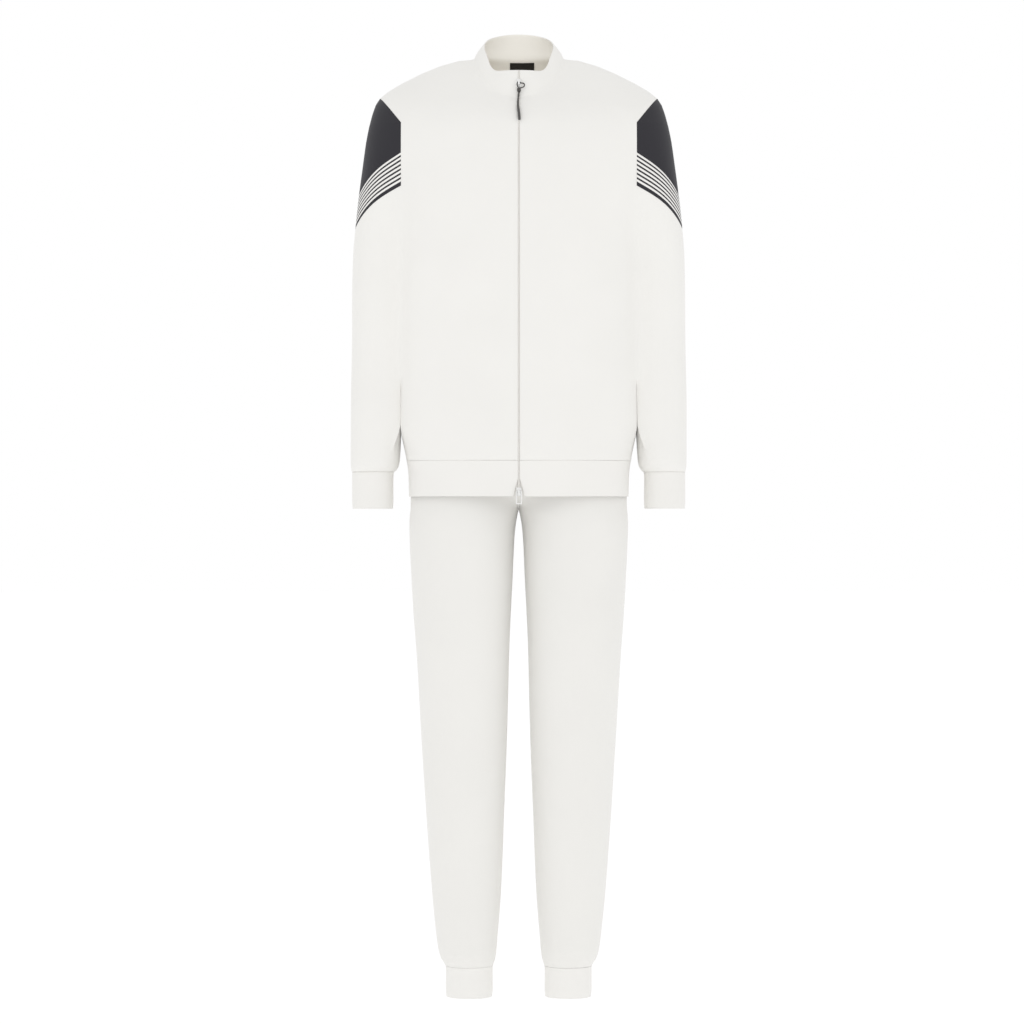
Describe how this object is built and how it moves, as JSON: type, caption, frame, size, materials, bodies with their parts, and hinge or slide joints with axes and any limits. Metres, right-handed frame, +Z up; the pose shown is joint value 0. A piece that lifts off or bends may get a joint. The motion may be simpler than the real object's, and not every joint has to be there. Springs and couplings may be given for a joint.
{
  "type": "tracksuit",
  "caption": "zip jacket with stand collar, dark shoulder panels and striped sleeve bands over jogger trousers, filled out as worn and hollow",
  "frame": {"origin": "centre of the neck at the height of the side neck seam, where the suit is held", "axes": "+Z up, -Y to the front, +X to the wearer's left"},
  "size_m": [0.5224, 0.2438, 1.5098],
  "materials": {
    "cloth_white": "smooth off-white tricot",
    "cloth_trousers": "smooth off-white tricot",
    "cloth_black": "matt black tricot",
    "rib_white": "fine off-white rib",
    "zip_grey": "woven tape with a coil zip",
    "slider_white": "white lacquer",
    "cord_grey": "dark braided cord",
    "label_black": "plain black woven label"
  },
  "bodies": {
    "suit": {"jacket_front_left": "cloth_white", "jacket_front_right": "cloth_white", "jacket_back": "cloth_white", "collar": "cloth_white", "hem_band": "rib_white", "shoulder_panel_left": "cloth_black", "shoulder_panel_right": "cloth_black", "stripe_band_left": "cloth_white", "stripe_band_right": "cloth_white", "sleeve_left": "cloth_white", "sleeve_right": "cloth_white", "wrist_cuff_left": "rib_white", "wrist_cuff_right": "rib_white", "zip_chain": "zip_grey", "zip_tape_left": "zip_grey", "zip_tape_right": "zip_grey", "top_slider": "slider_white", "bottom_slider": "slider_white", "pull_cord": "cord_grey", "pull_tail": "cord_grey", "neck_label": "label_black", "waistband": "rib_white", "leg_front_left": "cloth_trousers", "leg_front_right": "cloth_trousers", "leg_back_left": "cloth_trousers", "leg_back_right": "cloth_trousers", "ankle_cuff_left": "rib_white", "ankle_cuff_right": "rib_white"},
    "pull_tab": {"bottom_pull_tab": "slider_white"}
  },
  "joints": [
    {"name": "bottom_tab_hinge", "type": "hinge", "parent": "suit", "child": "pull_tab", "pos_m": [0, -0.1152, -0.674], "axis": [-1, 0, 0], "range_deg": [0, 120]}
  ]
}
